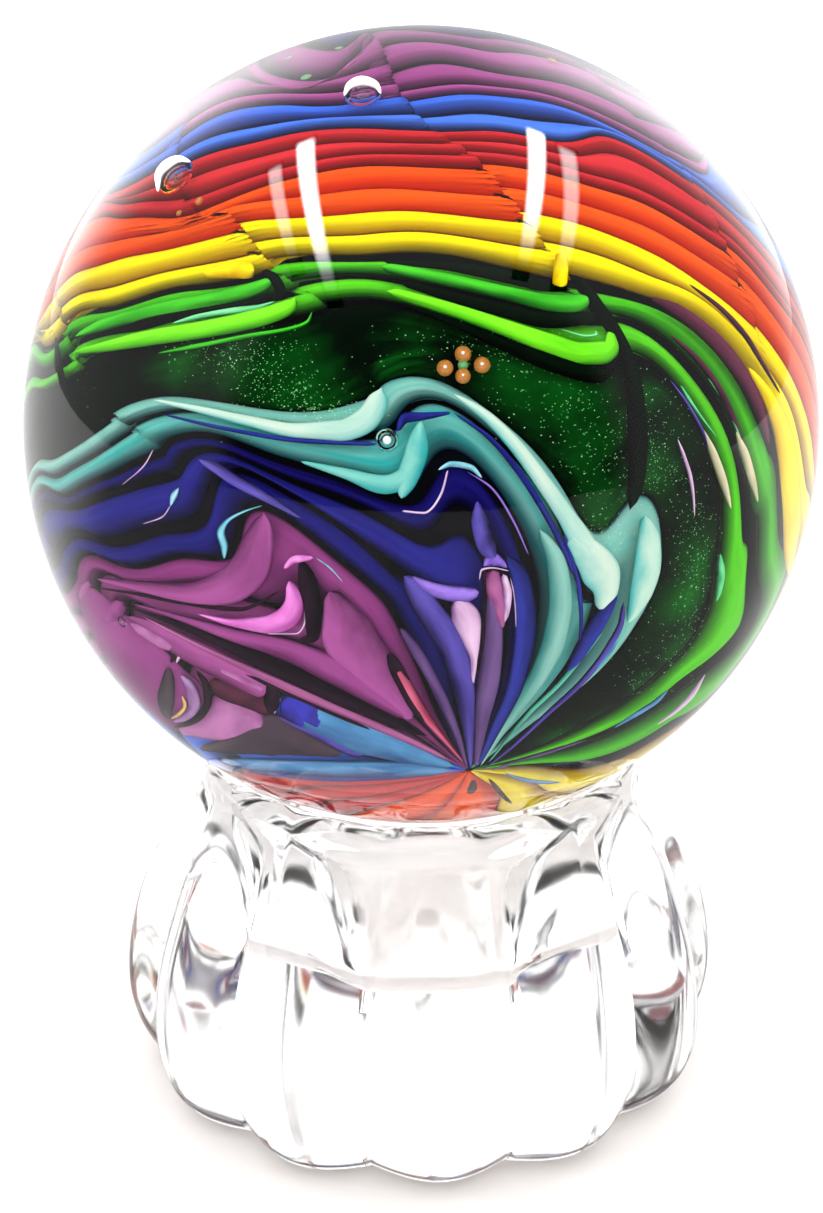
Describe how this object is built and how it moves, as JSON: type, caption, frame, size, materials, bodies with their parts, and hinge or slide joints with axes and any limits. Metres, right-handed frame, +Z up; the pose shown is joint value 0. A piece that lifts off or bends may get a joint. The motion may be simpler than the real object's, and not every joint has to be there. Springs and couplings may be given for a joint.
{
  "type": "glass paperweight with stand",
  "caption": "Solid clear glass paperweight ball, with a rainbow of twisted coloured canes sealed in it, resting on the rim of a lobed clear glass stand with a hollow well.",
  "frame": {"origin": "middle of the stand's underside, on the surface it stands on", "axes": "+Z up through the middle of the ball; the pictured front faces -Y"},
  "size_m": [0.082, 0.082, 0.1149],
  "materials": {
    "paperweight_glass": "clear polished glass over opaque twisted canes in purple, blue, red, orange, yellow, green and turquoise",
    "stand_glass": "clear pressed glass, polished"
  },
  "bodies": {
    "root": {"glass_ball": "paperweight_glass", "glass_stand": "stand_glass"}
  },
  "joints": []
}
